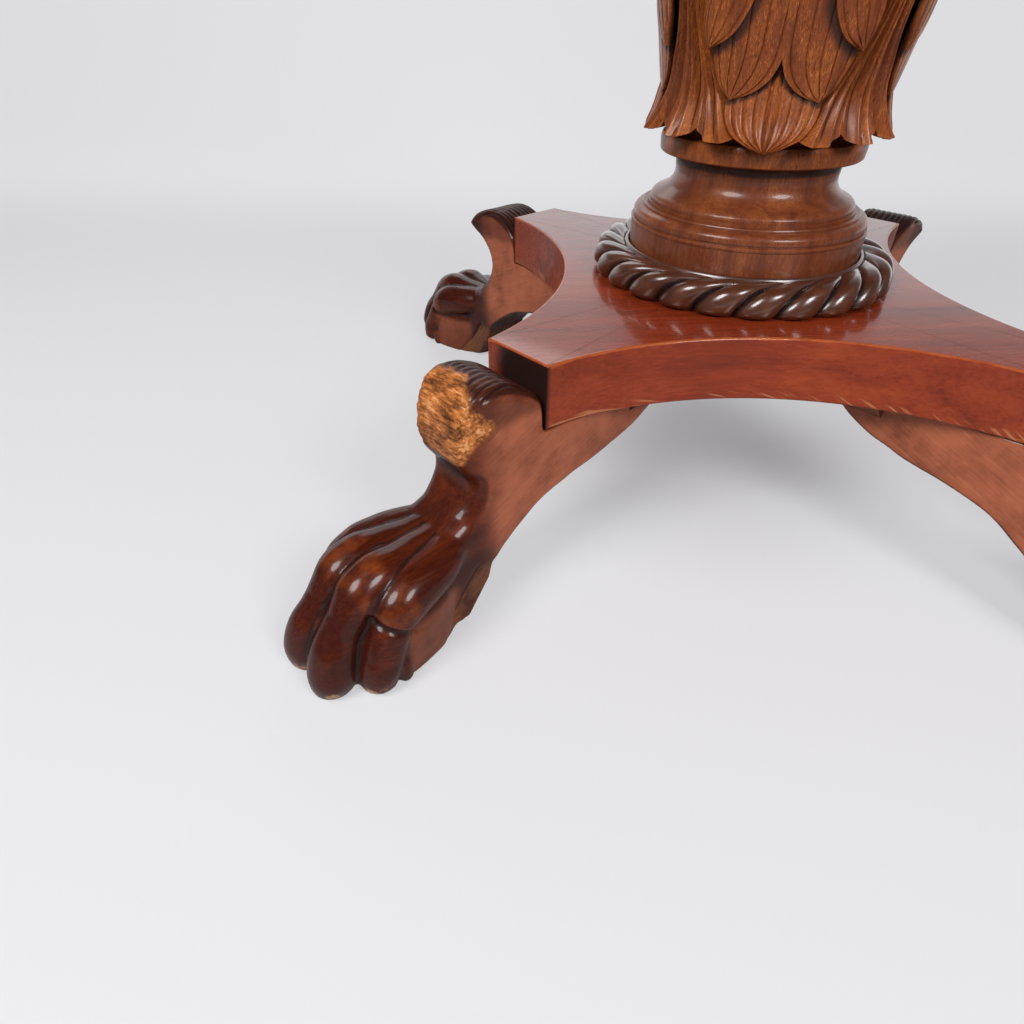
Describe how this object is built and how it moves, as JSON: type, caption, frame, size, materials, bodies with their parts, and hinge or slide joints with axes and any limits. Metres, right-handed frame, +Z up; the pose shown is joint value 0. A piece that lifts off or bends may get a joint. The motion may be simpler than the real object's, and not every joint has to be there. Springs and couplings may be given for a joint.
{
  "type": "pedestal table",
  "caption": "Round pedestal table: leaf-carved column and gadrooned collar on a hollow-sided platform, carried by scrolled legs ending in carved paw feet",
  "frame": {"origin": "on the floor under the middle of the column", "axes": "+Z up; +X to the viewer's right and +Y away from the viewer, with the legs on the diagonals between them"},
  "size_m": [0.9139, 0.914, 0.737],
  "materials": {
    "polished_mahogany": "gloss",
    "carved_mahogany": "satin",
    "plain_wood": "matte",
    "steel": "satin"
  },
  "bodies": {
    "root": {"leg_front_left": "carved_mahogany", "leg_front_right": "carved_mahogany", "leg_back_left": "carved_mahogany", "leg_back_right": "carved_mahogany", "leg_dowels": "plain_wood", "leg_screws": "steel", "platform": "polished_mahogany", "platform_glue_blocks": "plain_wood", "base_turning": "polished_mahogany", "gadroon_ring": "carved_mahogany", "column_shaft": "carved_mahogany", "capital_turning": "polished_mahogany", "cap_block": "polished_mahogany", "cap_screws": "steel", "bearer_front": "plain_wood", "bearer_back": "plain_wood", "top_screws": "steel", "apron_back_right": "polished_mahogany", "apron_back_left": "polished_mahogany", "apron_front_left": "polished_mahogany", "apron_front_right": "polished_mahogany", "apron_dowels": "plain_wood", "apron_glue_blocks": "plain_wood", "table_top": "polished_mahogany", "tie_rod": "steel", "tie_rod_washers": "steel", "tie_rod_nuts": "steel"}
  },
  "joints": []
}
